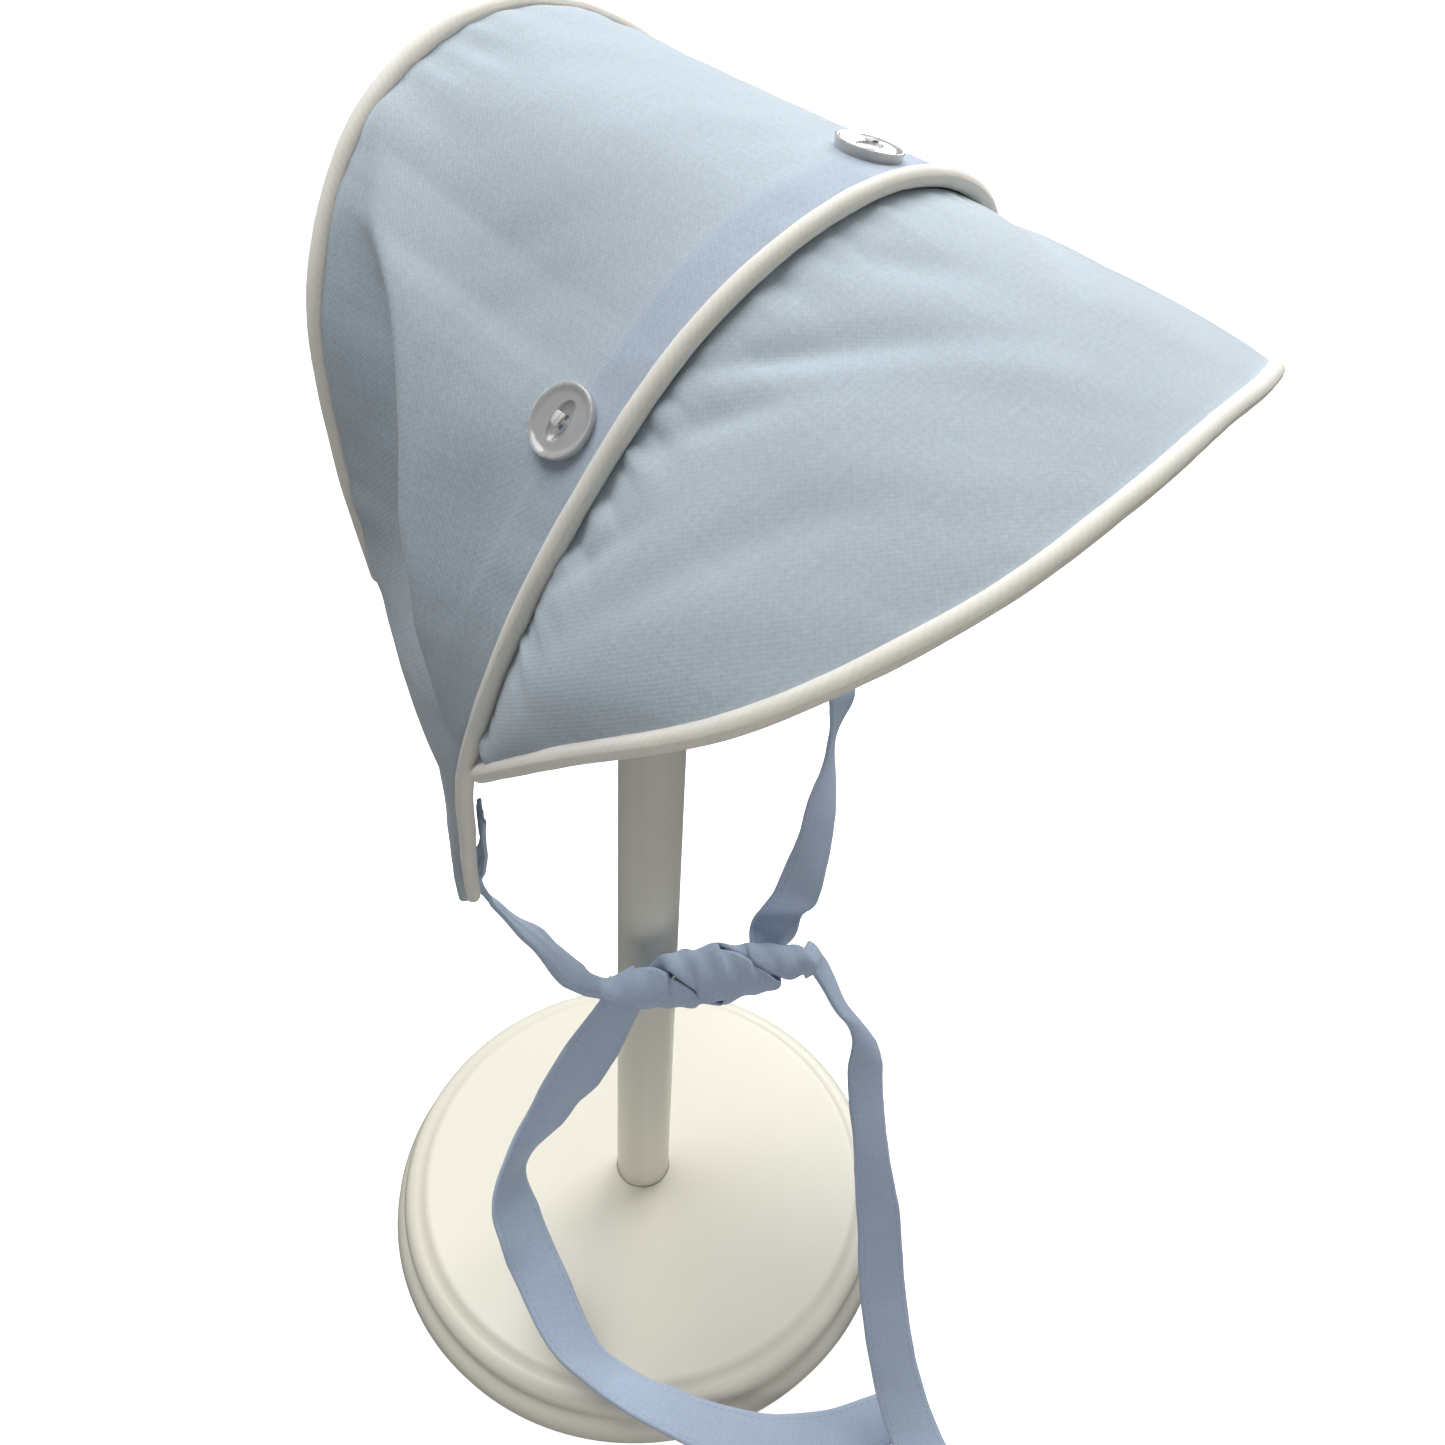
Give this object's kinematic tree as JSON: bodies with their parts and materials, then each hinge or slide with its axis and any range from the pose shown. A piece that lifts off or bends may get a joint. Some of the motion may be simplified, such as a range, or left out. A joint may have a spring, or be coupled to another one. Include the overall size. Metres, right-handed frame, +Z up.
{
  "type": "baby bonnet on hat stand",
  "caption": "Cotton baby sun bonnet with piped edges, buttoned brim and tied cloth ribbons, hung on a round-footed wooden hat stand.",
  "frame": {"origin": "centre of the underside of the stand's round foot, on the table", "axes": "+Z up; the bonnet faces -Y, so the wearer's right is at -X"},
  "size_m": [0.16, 0.1958, 0.3335],
  "materials": {
    "cotton": "matte plain weave",
    "piping": "matte",
    "paint": "satin paint",
    "button": "gloss"
  },
  "bodies": {
    "root": {"crown": "cotton", "back_panel": "cotton", "brim": "cotton", "front_piping": "piping", "back_piping": "piping", "brim_piping": "piping", "button_right": "button", "button_top": "button", "button_left": "button", "tie_right": "cotton", "tie_left": "cotton", "stand_base": "paint", "stand_post": "paint", "stand_head": "paint"}
  },
  "joints": []
}
